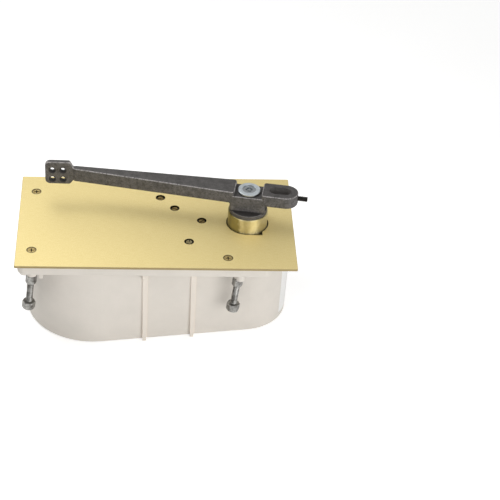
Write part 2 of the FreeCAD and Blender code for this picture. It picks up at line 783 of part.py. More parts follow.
# Drive roller, its pin and the crosshead
roller_z0 = mech_z - roller_len / 2
roller_z1 = mech_z + roller_len / 2
save("drive_roller", ring(roller_x, 0, roller_z0, roller_z1, roller_pin_r + run_gap, roller_r))
fork_low = key_z0 - fork_gap - fork_thick
fork_high = key_z1 + fork_gap + fork_thick
save("roller_pin", rod(roller_x, 0, fork_low - pin_past, fork_high + pin_past, roller_pin_r))
cross_parts = [box(cross_x0, cross_x1, -cross_half_y, cross_half_y, cross_bottom_z, cross_top_z)]
for z0 in (fork_low, fork_high - fork_thick):
    cross_parts.append(box(cross_x1 - 1, roller_x, -fork_half, fork_half, z0, z0 + fork_thick))
    cross_parts.append(rod(roller_x, 0, z0, z0 + fork_thick, fork_nose_r))
cross_cuts = [rod(roller_x, 0, fork_low - 1, fork_high + 1, roller_pin_r)]
cross_cuts.append(rod_x(cross_x0 - 1, cross_x0 + rod_sunk, 0, mech_z, piston_rod_r))
for side in (-1, 1):
    cross_cuts.append(rod_x(cross_x0 - 1, cross_x1 + 1, side * rod_y, rod_z, rod_r + run_gap))
save("crosshead", fuse(cross_parts).cut(Part.makeCompound(cross_cuts)))

# Abutment with guide rods and damper cylinder
abutment = box(abut_x0, abut_x1, -abut_half_y, abut_half_y, pocket_floor_z, abut_top_z)
abut_cuts = []
for side in (-1, 1):
    abut_cuts.append(rod_x(abut_x0 - 1, abut_x1 + 1, side * rod_y, rod_z, rod_r))
cyl_start_x = abut_x1 - cyl_sunk
abut_cuts.append(rod_x(cyl_start_x, abut_x1 + 1, 0, mech_z, cyl_out_r))
save("spring_abutment", abutment.cut(Part.makeCompound(abut_cuts)))
rods = [rod_x(abut_x0, rod_end_x, side * rod_y, rod_z, rod_r) for side in (-1, 1)]
save("guide_rods", Part.makeCompound(rods))
save("damper_cylinder", ring_x(cyl_start_x, cyl_end_x, 0, mech_z, cyl_bore_r, cyl_out_r))
gland = fuse([
    rod_x(cyl_end_x, cyl_end_x + gland_long, 0, mech_z, cyl_out_r),
    rod_x(cyl_end_x - gland_spigot, cyl_end_x, 0, mech_z, cyl_bore_r)])
gland_bore = rod_x(
    cyl_end_x - gland_spigot - 1, cyl_end_x + gland_long + 1, 0, mech_z, piston_rod_r + run_gap)
save("cylinder_gland", gland.cut(gland_bore))
piston_x0 = piston_x1 - piston_long
ring_x0 = piston_x1 - piston_long / 2 - ring_wide / 2
ring_in_r = cyl_bore_r - piston_gap - ring_deep
piston = rod_x(piston_x0, piston_x1, 0, mech_z, cyl_bore_r - piston_gap - piston_clear)
piston = piston.cut(ring_x(ring_x0, ring_x0 + ring_wide, 0, mech_z, ring_in_r, cyl_bore_r))
check_x = piston_x0 + check_in
piston = piston.cut(rod_x(piston_x0 - 1, check_x + check_ball_r, check_y, mech_z, check_ball_r + hole_gap))
piston = piston.cut(rod_x(check_x, piston_x1 + 1, check_y, mech_z, check_seat_r))
piston = piston.cut(rod_x(piston_x0 + rod_in_piston, piston_x1 + 1, 0, mech_z, piston_rod_r))
save("piston", piston)
save("piston_ring", ring_x(ring_x0, ring_x0 + ring_wide, 0, mech_z, ring_in_r, cyl_bore_r - piston_gap))
save("check_ball", Part.makeSphere(check_ball_r, vec(check_x, check_y, mech_z)))
save("piston_rod", rod_x(piston_x0 + rod_in_piston, cross_x0 + rod_sunk, 0, mech_z, piston_rod_r))

# Closing spring round the damper cylinder
spring_len = cross_x0 - abut_x1 - 2 * spring_wire_r
pitch = spring_len / spring_turns
helix = Part.makeHelix(pitch, spring_len, spring_mean_r)
start = Part.Wire([Part.makeCircle(spring_wire_r, vec(spring_mean_r, 0, 0), vec(0, 1, 0))])
coil = Part.Wire(helix).makePipeShell([start], True, True)
coil.rotate(ORIGIN, vec(0, 1, 0), 90)
coil.translate(vec(abut_x1 + spring_wire_r, 0, mech_z))
save("closing_spring", coil)

# Door arm: a forged bar, paddle, bridge and tail over the hub, each with soft edges
def tapered_block(first, last):
    # Straight-sided solid between two upright sections, each x, half width, lowest z and highest z
    x0, half0, low0, high0 = first
    x1, half1, low1, high1 = last
    side = side_slab([(x0, low0), (x1, low1), (x1, high1), (x0, high0)], max(half0, half1))
    plan = [vec(x0, -half0, 0), vec(x1, -half1, 0), vec(x1, half1, 0), vec(x0, half0, 0)]
    plan = Part.Face(Part.makePolygon(plan + plan[:1])).extrude(vec(0, 0, max(high0, high1)))
    return side.common(plan)


def edges_along_x(shape):
    return [e for e in shape.Edges if e.BoundBox.XLength > 1]


def upright_edges(shape, x):
    return [e for e in shape.Edges if e.BoundBox.ZLength > 1 and abs(e.CenterOfMass.x - x) < 0.01]


def corner_fill(x, side):
    # The soft inside corner between the underside of the arm and the hub block
    low = vec(x, -hub_fill_half, arm_bottom_z - hub_fill_r)
    bend = hub_fill_r * (1 - math.sqrt(0.5))
    middle = vec(x + side * bend, -hub_fill_half, arm_bottom_z - bend)
    high = vec(x + side * hub_fill_r, -hub_fill_half, arm_bottom_z)
    inner = vec(x - side, -hub_fill_half, arm_bottom_z - hub_fill_r)
    top = vec(x + side * hub_fill_r, -hub_fill_half, arm_bottom_z + 1)
    corner = vec(x - side, -hub_fill_half, arm_bottom_z + 1)
    outline = Part.makePolygon([high, top, corner, inner, low]).Edges
    outline.append(Part.Arc(low, middle, high).toShape())
    return Part.Face(Part.Wire(outline)).extrude(vec(0, 2 * hub_fill_half, 0))


paddle_end_x = neck_x - shoulder_long
tail_mid_x = tail_end_x - arm_half_hub
bar = tapered_block(
    (neck_x, arm_half_neck, neck_low_z, arm_top_z), (channel_x0, arm_half_hub, arm_bottom_z, arm_top_z))
bar = bar.makeFillet(channel_corner_r, upright_edges(bar, channel_x0))
bar = bar.makeFillet(arm_edge_r, edges_along_x(bar))
stub_low_z = neck_low_z + neck_step
stub_high_z = arm_top_z - neck_step
stub_start_x = neck_x - neck_lap
paddle_points = [
    (paddle_x0, paddle_low_z), (paddle_end_x, paddle_low_z), (stub_start_x, stub_low_z),
    (neck_x + neck_lap, stub_low_z), (neck_x + neck_lap, stub_high_z), (stub_start_x, stub_high_z),
    (paddle_end_x, paddle_high_z), (paddle_x0, paddle_high_z)]
paddle = side_slab(paddle_points, paddle_half)
shoulder_edges = [
    e for e in paddle.Edges if e.BoundBox.YLength > 1 and paddle_x0 + 1 < e.BoundBox.XMin < neck_x]
paddle = paddle.makeFillet(shoulder_r, shoulder_edges)
end_edges = [e for e in paddle.Edges if e.BoundBox.YLength > 1 and e.BoundBox.XMax < paddle_x0 + 0.01]
paddle = paddle.makeFillet(paddle_corner_r, end_edges)
rim_edges = [e for e in paddle.Edges if e.BoundBox.YLength < 0.01 and e.BoundBox.XMin < neck_x]
paddle = paddle.makeFillet(arm_edge_r, rim_edges)
paddle_mid_x = (paddle_x0 + paddle_end_x) / 2
hole_cuts = []
for ix in (-0.5, 0.5):
    for iz in (-0.5, 0.5):
        hole_x = paddle_mid_x + ix * paddle_hole_span
        spot = vec(hole_x, -paddle_half, paddle_hole_z + iz * paddle_hole_span)
        hole_cuts.append(Part.makeCylinder(paddle_hole_r, 2 * paddle_half, spot, vec(0, 1, 0)))
        hole_cuts.append(Part.makeCone(paddle_sink_r, paddle_hole_r, paddle_sink_deep, spot, vec(0, 1, 0)))
paddle = paddle.cut(fuse(hole_cuts))
paddle.rotate(vec(neck_x, 0, 0), UP, paddle_turn_deg)
paddle.translate(vec(0, paddle_shift_y, 0))
bridge = box(
    channel_x0 - bridge_lap, channel_x1 + bridge_lap, -bridge_half, bridge_half,
    arm_bottom_z, channel_floor_z)
bridge = bridge.makeFillet(bridge_edge_r, edges_along_x(bridge))
tail = fuse([
    box(channel_x1, tail_mid_x, -arm_half_hub, arm_half_hub, arm_bottom_z, arm_top_z),
    rod(tail_mid_x, 0, arm_bottom_z, arm_top_z, arm_half_hub)])
tail = tail.makeFillet(channel_corner_r, upright_edges(tail, channel_x1))
tail = tail.makeFillet(arm_edge_r, edges_at(tail, arm_top_z))
tail_low = [e for e in edges_at(tail, arm_bottom_z) if e.BoundBox.XMax > channel_x1 + 1]
tail = tail.makeFillet(tail_low_r, tail_low)
flange_top = collar_top_z + hub_flange_thick
block = rounded_box(
    -hub_half_x, hub_half_x, -hub_block_half, hub_block_half,
    flange_top - 1, arm_bottom_z + 1, hub_corner_r)
flange = rod(0, 0, collar_top_z, flange_top, hub_flange_r)
flange = flange.makeFillet(hub_flange_edge_r, edges_at(flange, flange_top))
fills = [corner_fill(-hub_half_x, -1), corner_fill(hub_half_x, 1)]
arm = fuse([bar, paddle, bridge, tail, block, flange] + fills)
arm_cuts = [
    box(channel_x0, channel_x1, -hub_flange_r, hub_flange_r, channel_floor_z, arm_top_z + 1),
    rod(0, 0, collar_top_z - 1, arm_top_z + 1, arm_bolt_r + arm_bolt_gap),
    box(tail_slot_x0, tail_slot_x1, -tail_slot_r, tail_slot_r, tail_slot_floor_z, arm_top_z + 1),
    rod(tail_slot_x0, 0, tail_slot_floor_z, arm_top_z + 1, tail_slot_r),
    rod(tail_slot_x1, 0, tail_slot_floor_z, arm_top_z + 1, tail_slot_r),
    rod_x(set_screw_in_x - 2, tail_end_x + 1, 0, set_screw_z, set_screw_r + thread_gap)]
square_hole = square_half + square_gap
arm_cuts.append(box(
    -square_hole, square_hole, -square_hole, square_hole, collar_top_z - 1, square_top_z + square_above))
arm = arm.cut(fuse(arm_cuts))
save("door_arm", arm_turned(arm))

# Arm bolt and tail adjusting screw
head_top = channel_floor_z + arm_bolt_head_h
bolt = fuse([
    rod(0, 0, channel_floor_z, head_top, arm_bolt_head_r),
    rod(0, 0, arm_bolt_end_z, channel_floor_z, arm_bolt_r)])
bolt = bolt.makeChamfer(arm_bolt_edge, edges_at(bolt, head_top))
under = [e for e in edges_at(bolt, channel_floor_z) if e.BoundBox.XMax > arm_bolt_r + 1]
bolt = bolt.makeChamfer(arm_bolt_under, under)
bolt = bolt.cut(rod(0, 0, head_top - arm_bolt_step_deep, head_top + 1, arm_bolt_step_r))
socket_floor = head_top - arm_bolt_socket_deep
socket = hexagon(0, 0, socket_floor, head_top + 1, arm_bolt_socket_af)
pin = rod(0, 0, socket_floor - 1, head_top - arm_bolt_pin_down, arm_bolt_pin_r)
bolt = bolt.cut(socket.cut(pin))
save("arm_bolt", arm_turned(bolt))
screw_len = set_screw_out_x - set_screw_in_x
screw = threaded_rod(0, 0, 0, screw_len, set_screw_r, set_screw_pitch)
screw = screw.cut(hexagon(0, 0, screw_len - set_screw_socket_deep, screw_len + 1, set_screw_socket_af))
screw.rotate(ORIGIN, vec(0, 1, 0), 90)
screw.translate(vec(set_screw_in_x, 0, set_screw_z))
save("arm_adjusting_screw", arm_turned(screw))
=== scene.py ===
import math

import bmesh
import bpy
from mathutils import Matrix, Vector


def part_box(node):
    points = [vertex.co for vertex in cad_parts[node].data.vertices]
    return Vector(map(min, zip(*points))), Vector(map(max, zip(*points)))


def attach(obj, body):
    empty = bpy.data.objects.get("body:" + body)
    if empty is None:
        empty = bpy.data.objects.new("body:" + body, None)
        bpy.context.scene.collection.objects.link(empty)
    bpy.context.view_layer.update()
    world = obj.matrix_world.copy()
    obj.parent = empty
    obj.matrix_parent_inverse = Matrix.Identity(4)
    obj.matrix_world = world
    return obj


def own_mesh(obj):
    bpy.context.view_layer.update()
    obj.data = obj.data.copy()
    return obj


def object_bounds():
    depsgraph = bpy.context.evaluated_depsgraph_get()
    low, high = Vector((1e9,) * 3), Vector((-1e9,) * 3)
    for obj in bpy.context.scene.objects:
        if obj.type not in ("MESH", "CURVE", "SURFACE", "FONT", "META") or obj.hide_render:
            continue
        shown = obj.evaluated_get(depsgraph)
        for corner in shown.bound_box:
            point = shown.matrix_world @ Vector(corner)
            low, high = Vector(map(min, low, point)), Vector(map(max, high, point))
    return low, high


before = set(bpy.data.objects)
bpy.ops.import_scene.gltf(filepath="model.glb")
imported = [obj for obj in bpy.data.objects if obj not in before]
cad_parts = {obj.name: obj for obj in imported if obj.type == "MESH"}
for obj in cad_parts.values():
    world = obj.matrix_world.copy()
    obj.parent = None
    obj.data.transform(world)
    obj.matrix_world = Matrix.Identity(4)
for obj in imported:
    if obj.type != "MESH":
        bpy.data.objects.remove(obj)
cad_box = [list(corner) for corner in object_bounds()]
scene = bpy.context.scene
scene.view_settings.view_transform = "Standard"
MM = 0.001


def linear(code):
    # An sRGB hex colour as linear red, green, blue and alpha
    out = []
    for i in (1, 3, 5):
        c = int(code[i:i + 2], 16) / 255
        out.append(c / 12.92 if c <= 0.04045 else ((c + 0.055) / 1.055) ** 2.4)
    return (*out, 1.0)


def grey(level):
    # A level from 0 to 1 as the colour of a ramp's stop
    return (level, level, level, 1.0)


def per_mm(size):
    # Pattern scale that gives features of this size on Object coordinates, which are in metres
    return 1 / (size * MM)


def wire(tree, node, ins=None, **sockets):
    # Give a value or a link to a node's sockets, by their number or by their name
    for key, value in {**(ins or {}), **sockets}.items():
        socket = node.inputs[key if isinstance(key, int) else key.replace("_", " ")]
        if isinstance(value, bpy.types.NodeSocket):
            tree.links.new(value, socket)
        else:
            socket.default_value = value


def add(tree, kind, settings=None, stops=(), ins=None, **sockets):
    # One node with its settings, its ramp stops, and what goes into its sockets
    made = tree.nodes.new("ShaderNode" + kind)
    for name, value in (settings or {}).items():
        setattr(made, name, value)
    for i, (place, colour) in enumerate(stops):
        ramp = made.color_ramp.elements
        stop = ramp[i] if i < len(ramp) else ramp.new(place)
        stop.position = place
        stop.color = colour
    wire(tree, made, ins, **sockets)
    return made


def start_finish(name):
    # A new material, its node tree, its shader and its Object coordinates
    made = bpy.data.materials.new(name)
    made.use_nodes = True
    tree = made.node_tree
    place = add(tree, "TexCoord").outputs["Object"]
    return made, tree, tree.nodes["Principled BSDF"], place


# Camera at the photograph's viewing angle
CAMERA_PLACE = (-0.13939, -1.71254, 1.25480)
LOOK_DOWN = math.radians(37.18)
LOOK_RIGHT = math.radians(0.70)
ROLL = math.radians(1.07)
SENSOR_WIDTH = 36.0
FOCAL_LENGTH = 124.85
SHIFT_X = 0.2
CLIP_END = 50.0
lens = bpy.data.cameras.new("camera")
lens.sensor_width = SENSOR_WIDTH
lens.lens = FOCAL_LENGTH
lens.shift_x = SHIFT_X
lens.clip_end = CLIP_END
camera = bpy.data.objects.new("camera", lens)
scene.collection.objects.link(camera)
turn = Matrix.Rotation(-LOOK_RIGHT, 4, "Z") @ Matrix.Rotation(math.pi / 2 - LOOK_DOWN, 4, "X")
camera.matrix_world = Matrix.Translation(CAMERA_PLACE) @ turn @ Matrix.Rotation(ROLL, 4, "Z")
scene.camera = camera


# Studio: soft lamps, a pale world and a pale floor that keeps the shadow
def softbox(name, place, aim, size, watts):
    lamp = bpy.data.lights.new(name, "AREA")
    lamp.shape = "RECTANGLE"
    lamp.size, lamp.size_y = size
    lamp.energy = watts
    box = bpy.data.objects.new(name, lamp)
    scene.collection.objects.link(box)
    box.location = place
    box.rotation_euler = (Vector(aim) - Vector(place)).to_track_quat("-Z", "Y").to_euler()


MIDDLE = (-0.10, 0.0, -0.03)
PLATE_LEFT = (-0.28, 0.0, 0.0)
softbox("overhead_softbox", (-0.34, 0.10, 0.58), PLATE_LEFT, (0.34, 0.48), 2.1)
softbox("front_right_softbox", (0.66, -0.92, 0.24), MIDDLE, (0.7, 0.7), 5.0)
softbox("front_left_strip", (-0.74, -1.18, 0.40), MIDDLE, (0.08, 0.7), 1.5)
softbox("front_middle_strip", (0.30, -1.32, 0.40), MIDDLE, (0.08, 0.7), 1.6)
softbox("back_left_panel", (-1.70, 1.10, 0.90), MIDDLE, (2.2, 1.8), 6.5)

# The room is white to the camera, softer in reflections and as fill, and darker on the left than on the right
ROOM_SHINE = 0.6
ROOM_FILL = 0.46
ROOM_LEFT = 0.75
ROOM_RIGHT = 1.2
world = bpy.data.worlds.new("studio_room")
scene.world = world
world.use_nodes = True
room = world.node_tree
ray = add(room, "LightPath").outputs
mirrored = add(room, "Math", {"operation": "MAXIMUM"},
               ins={0: ray["Is Glossy Ray"], 1: ray["Is Transmission Ray"]})
level = add(room, "MapRange", Value=mirrored.outputs[0], To_Min=ROOM_FILL, To_Max=ROOM_SHINE)
across = add(room, "SeparateXYZ", Vector=add(room, "TexCoord").outputs["Generated"]).outputs["X"]
grade = add(room, "MapRange", Value=across, From_Min=-1.0, To_Min=ROOM_LEFT, To_Max=ROOM_RIGHT)
light = add(room, "Math", {"operation": "MULTIPLY"},
            ins={0: level.outputs["Result"], 1: grade.outputs["Result"]})
strength = add(room, "Mix", {"data_type": "FLOAT"},
               ins={0: ray["Is Camera Ray"], 2: light.outputs[0], 3: 1.0})
wire(room, room.nodes["Background"], Color=linear("#FFFFFF"), Strength=strength.outputs[0])

# Extra glow of the floor, seen by the camera and in reflections only
FLOOR_LIFT = 0.45


def studio_floor_paint():
    # Matt white studio floor, lifted for the camera so that it reads as paper white and keeps the shadow
    made, tree, shader, place = start_finish("studio_floor_paint")
    ray = add(tree, "LightPath").outputs
    mottle = add(tree, "TexNoise", Vector=place, Scale=per_mm(400), Detail=2.0)
    tone = add(tree, "ValToRGB", stops=((0.3, linear("#F1F1F0")), (0.7, linear("#F5F5F4"))),
               Fac=mottle.outputs["Fac"])
    seen = ray["Is Camera Ray"]
    for kind in ("Is Glossy Ray", "Is Transmission Ray"):
        seen = add(tree, "Math", {"operation": "MAXIMUM"}, ins={0: seen, 1: ray[kind]}).outputs[0]
    lift = add(tree, "MapRange", Value=seen, To_Max=FLOOR_LIFT)
    wire(tree, shader, Base_Color=tone.outputs["Color"], Roughness=0.9, Specular_IOR_Level=0.1,
         Emission_Color=linear("#FFFFFF"), Emission_Strength=lift.outputs["Result"])
    return made


def deselect_all():
    if bpy.context.mode != "OBJECT":
        bpy.ops.object.mode_set(mode="OBJECT")
    bpy.ops.object.select_all(action="DESELECT")


FLOOR_Z = cad_box[0][2]
FLOOR_SIZE = 12.0
deselect_all()
bpy.ops.mesh.primitive_plane_add(size=FLOOR_SIZE, location=(0, 0, FLOOR_Z))
floor = bpy.context.active_object
floor.name = "studio_floor"
bpy.ops.object.transform_apply(location=True)
floor.data.materials.append(studio_floor_paint())


def distance_from_axes(tree, place, middle, half, across):
    # Distance from the nearest of the axes that stand at the middle plus or minus half.
    # across is 0 along the axes and 1 in the other two ways.
    from_middle = add(tree, "Mapping", Vector=place, Location=[-at for at in middle])
    folded = add(tree, "VectorMath", {"operation": "ABSOLUTE"}, ins={0: from_middle.outputs["Vector"]})
    from_axis = add(tree, "VectorMath", {"operation": "SUBTRACT"}, ins={0: folded.outputs["Vector"], 1: half})
    flat = add(tree, "VectorMath", {"operation": "MULTIPLY"}, ins={0: from_axis.outputs["Vector"], 1: across})
    return add(tree, "VectorMath", {"operation": "LENGTH"}, ins={0: flat.outputs["Vector"]}).outputs["Value"]


def level_by_depth(tree, height, top, levels):
    # Level at a height, from pairs of the depth below the top in mm and the level there
    reach = levels[-1][0]
    down = add(tree, "MapRange", Value=height, From_Min=top, From_Max=top - reach * MM)
    stops = [(deep / reach, grey(level)) for deep, level in levels]
    return add(tree, "ValToRGB", stops=stops, Fac=down.outputs["Result"]).outputs["Color"]


# Finishes. Places and depths are in mm, and a pair of them is where something begins and where it is full.
# A wave texture of scale 1 has about this many rings in one unit
WAVES_PER_UNIT = 3.2
# The plate's sawn rim as a share of its half size, and the depth of the walls of its holes. Below that depth
# the walls and the rim are painted shade.
PLATE_SHADE_RIM = (0.98, 0.985)
PLATE_SHADE_DEPTH = (-0.02, -0.3)


def satin_lacquered_brass():
    # Sheet brass rubbed to a satin with short strokes and lacquered: an even straw yellow, not shiny.
    # Strokes of about 0.1 mm are drawn at 0.7 mm and the grain of the lacquer at 1.2 mm so that they show.
    # The walls of its windows and screw sinks are painted dark brown as painted shade, and its sawn rim is
    # painted a dull brass as the shade line along its edge.
    made, tree, shader, place = start_finish("satin_lacquered_brass")
    stretch = add(tree, "Mapping", Vector=place, Scale=(per_mm(9), per_mm(0.7), per_mm(0.7)))
    stroke = add(tree, "TexNoise", Vector=stretch.outputs["Vector"], Scale=1.0, Detail=3.0, Roughness=0.6)
    grain = add(tree, "TexNoise", Vector=place, Scale=per_mm(1.2), Detail=2.0)
    both = add(tree, "Math", {"operation": "ADD"}, ins={0: stroke.outputs["Fac"], 1: grain.outputs["Fac"]})
    share = add(tree, "MapRange", Value=both.outputs[0], From_Max=2.0)
    metal = add(tree, "ValToRGB", stops=((0.35, linear("#E4D08F")), (0.65, linear("#EFDFA6"))),
                Fac=share.outputs["Result"])
    low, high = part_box("cover_plate")
    half = [(high[i] - low[i]) / 2 for i in range(3)]
    shift = [-(high[i] + low[i]) / (2 * half[i]) for i in range(3)]
    centred = add(tree, "Mapping", Vector=place, Location=shift, Scale=[1 / size for size in half])
    reach = add(tree, "VectorMath", {"operation": "ABSOLUTE"}, ins={0: centred.outputs["Vector"]})
    sides = add(tree, "SeparateXYZ", Vector=reach.outputs["Vector"]).outputs
    widest = add(tree, "Math", {"operation": "MAXIMUM"}, ins={0: sides["X"], 1: sides["Y"]})
    rim = add(tree, "MapRange", Value=widest.outputs[0], From_Min=PLATE_SHADE_RIM[0], From_Max=PLATE_SHADE_RIM[1])
    # painted shade: dark brown on the walls of holes and sinks, dull brass on the sawn rim
    shade_below = add(tree, "Mix", {"data_type": "RGBA"}, ins={6: linear("#2B2212"), 7: linear("#A08F66")},
                Factor=rim.outputs["Result"])
    depth = add(tree, "SeparateXYZ", Vector=place).outputs["Z"]
    # painted shade begins just below the plate's top
    sunk_shade = add(tree, "MapRange", Value=depth, From_Min=PLATE_SHADE_DEPTH[0] * MM, From_Max=PLATE_SHADE_DEPTH[1] * MM)
    tone = add(tree, "Mix", {"data_type": "RGBA"}, ins={6: metal.outputs["Color"], 7: shade_below.outputs[2]},
               Factor=sunk_shade.outputs["Result"])
    gloss = add(tree, "MapRange", Value=stroke.outputs["Fac"], To_Min=0.52, To_Max=0.68)
    relief = add(tree, "Bump", Height=both.outputs[0], Strength=0.15, Distance=0.05 * MM)
    wire(tree, shader, Base_Color=tone.outputs[2], Roughness=gloss.outputs["Result"],
         Normal=relief.outputs["Normal"], Metallic=0.65)
    return made


def turned_brass():
    # Brass bar turned on a lathe and left bright: pale yellow with cloudy patches of about 3 mm
    made, tree, shader, place = start_finish("turned_brass")
    cloud = add(tree, "TexNoise", Vector=place, Scale=per_mm(3), Detail=3.0)
    tone = add(tree, "ValToRGB", stops=((0.3, linear("#E0D2A0")), (0.75, linear("#F0E6C2"))),
               Fac=cloud.outputs["Fac"])
    gloss = add(tree, "MapRange", Value=cloud.outputs["Fac"], To_Min=0.24, To_Max=0.42)
    relief = add(tree, "Bump", Height=cloud.outputs["Fac"], Strength=0.1, Distance=0.05 * MM)
    wire(tree, shader, Base_Color=tone.outputs["Color"], Roughness=gloss.outputs["Result"],
         Normal=relief.outputs["Normal"], Metallic=1.0)
    return made


# The x at which the painted shade on the collar's left side begins and is full, and how far its edge wanders
SHADE_X = (-10.0, -12.5)
SHADE_WANDER = 3.0


def collar_brass_painted_shade():
    # The turned spindle collar: tool marks round the axis draw the light out into upright streaks.
    # Marks of about 0.2 mm are drawn at 1 mm. Its left side is painted a darker olive brown as painted shade.
    made, tree, shader, place = start_finish("collar_brass_painted_shade")
    rings = add(tree, "TexWave", {"bands_direction": "Z"}, Vector=place, Scale=per_mm(1.0) / WAVES_PER_UNIT,
                Distortion=0.6, Detail=2.0)
    cloud = add(tree, "TexNoise", Vector=place, Scale=per_mm(6), Detail=3.0)
    metal = add(tree, "ValToRGB", stops=((0.3, linear("#CDBF8A")), (0.75, linear("#DBCE9F"))),
                Fac=cloud.outputs["Fac"])
    across = add(tree, "SeparateXYZ", Vector=place).outputs["X"]
    wander = add(tree, "MapRange", Value=cloud.outputs["Fac"], To_Min=-SHADE_WANDER * MM,
                 To_Max=SHADE_WANDER * MM)
    edge = add(tree, "Math", {"operation": "ADD"}, ins={0: across, 1: wander.outputs["Result"]})
    # painted shade: the collar's left side is darker olive brown
    side_shade = add(tree, "MapRange", Value=edge.outputs[0], From_Min=SHADE_X[0] * MM, From_Max=SHADE_X[1] * MM)
    tone = add(tree, "Mix", {"data_type": "RGBA"}, ins={6: metal.outputs["Color"], 7: linear("#9C905C")},
               Factor=side_shade.outputs["Result"])
    gloss = add(tree, "MapRange", Value=rings.outputs["Fac"], To_Min=0.4, To_Max=0.5)
    relief = add(tree, "Bump", Height=rings.outputs["Fac"], Strength=0.1, Distance=0.05 * MM)
    round_axis = add(tree, "Tangent", {"direction_type": "RADIAL", "axis": "Z"})
    wire(tree, shader, Base_Color=tone.outputs[2], Roughness=gloss.outputs["Result"],
         Normal=relief.outputs["Normal"], Tangent=round_axis.outputs["Tangent"], Metallic=1.0,
         Anisotropic=0.85, Anisotropic_Rotation=0.25)
    return made


# Radius of a plate screw's head at the top, and x and half the spread in y of the two pairs of screws
SCREW_HEAD_R = 5.27
SCREW_PAIRS = ((-261.0, 60.5), (-26.0, 72.0))
# Depth of the cross recess, which is painted in shade, the share of the radius where painted shade begins,
# and how strong it gets at the rim
SCREW_RECESS = (-0.6, -0.9)
SCREW_SHADE_FROM = 0.55
SCREW_SHADE = 0.55


def screw_brass_painted_shade():
    # Brass plate screws: lighter in the middle, with spots of about 2.5 mm.
    # The cross recess is painted dark as painted shade, and painted shade gathers towards the rim of each
    # head.
    made, tree, shader, place = start_finish("screw_brass_painted_shade")
    spots = add(tree, "TexNoise", Vector=place, Scale=per_mm(2.5), Detail=5.0, Roughness=0.6)
    metal = add(tree, "ValToRGB", stops=((0.32, linear("#9C8449")), (0.62, linear("#D8C285"))),
                Fac=spots.outputs["Fac"])
    depth = add(tree, "SeparateXYZ", Vector=place).outputs["Z"]
    recess_shade = add(tree, "MapRange", Value=depth, From_Min=SCREW_RECESS[0] * MM, From_Max=SCREW_RECESS[1] * MM)
    out = [distance_from_axes(tree, place, (x * MM, 0, 0), (0, y * MM, 0), (1, 1, 0)) for x, y in SCREW_PAIRS]
    nearest = add(tree, "Math", {"operation": "MINIMUM"}, ins={0: out[0], 1: out[1]})
    rim = add(tree, "MapRange", Value=nearest.outputs[0], From_Min=SCREW_SHADE_FROM * SCREW_HEAD_R * MM,
              From_Max=SCREW_HEAD_R * MM, To_Max=SCREW_SHADE)
    grime_and_shade = add(tree, "Math", {"operation": "MAXIMUM"},
                ins={0: recess_shade.outputs["Result"], 1: rim.outputs["Result"]})
    # painted shade: dark in the cross recess and towards the rim of each head
    tone = add(tree, "Mix", {"data_type": "RGBA"}, ins={6: metal.outputs["Color"], 7: linear("#3A2E16")},
               Factor=grime_and_shade.outputs[0])
    gloss = add(tree, "MapRange", Value=spots.outputs["Fac"], To_Min=0.6, To_Max=0.4)
    relief = add(tree, "Bump", Height=spots.outputs["Fac"], Strength=0.15, Distance=0.1 * MM)
    wire(tree, shader, Base_Color=tone.outputs[2], Roughness=gloss.outputs["Result"],
         Normal=relief.outputs["Normal"], Metallic=0.65)
    return made


# Depth of the slots in the valves, from which they are painted in shade
VALVE_SLOT_SHADE = (-1.1, -1.5)


def oiled_bronze():
    # Regulating valves that stand in oil and dust: olive brown, brighter in spots of about 2 mm.
    # Their screwdriver slots are painted dark as painted shade.
    made, tree, shader, place = start_finish("oiled_bronze")
    grime_and_shade = add(tree, "TexNoise", Vector=place, Scale=per_mm(2.0), Detail=5.0, Roughness=0.65)
    metal = add(tree, "ValToRGB", stops=((0.35, linear("#64532B")), (0.65, linear("#A58E56"))),
                Fac=grime_and_shade.outputs["Fac"])
    depth = add(tree, "SeparateXYZ", Vector=place).outputs["Z"]
    slot = add(tree, "MapRange", Value=depth, From_Min=VALVE_SLOT_SHADE[0] * MM, From_Max=VALVE_SLOT_SHADE[1] * MM)
    # painted shade: the screwdriver slots are dark
    tone = add(tree, "Mix", {"data_type": "RGBA"}, ins={6: metal.outputs["Color"], 7: linear("#241D10")},
               Factor=slot.outputs["Result"])
    gloss = add(tree, "MapRange", Value=grime_and_shade.outputs["Fac"], To_Min=0.6, To_Max=0.4)
    relief = add(tree, "Bump", Height=grime_and_shade.outputs["Fac"], Strength=0.2, Distance=0.1 * MM)
    wire(tree, shader, Base_Color=tone.outputs[2], Roughness=gloss.outputs["Result"],
         Normal=relief.outputs["Normal"], Metallic=0.7)
    return made


# The case's ribs: their x, half their width, the soft edge of their paler enamel, and the z of their top.
# The ramp that paints them runs over RIB_SPAN.
RIB_X = (-124.5, -66.0)
RIB_HALF = 3.4
RIB_EDGE = 0.3
RIB_TOP_Z = -15.5
RIB_SPAN = (-160.0, -30.0)
# Chips in the enamel: how far apart they are, their radius, and the share of it that is bare
CHIP_EVERY = 38.0
CHIP_R = 0.8
CHIP_BARE = 0.6


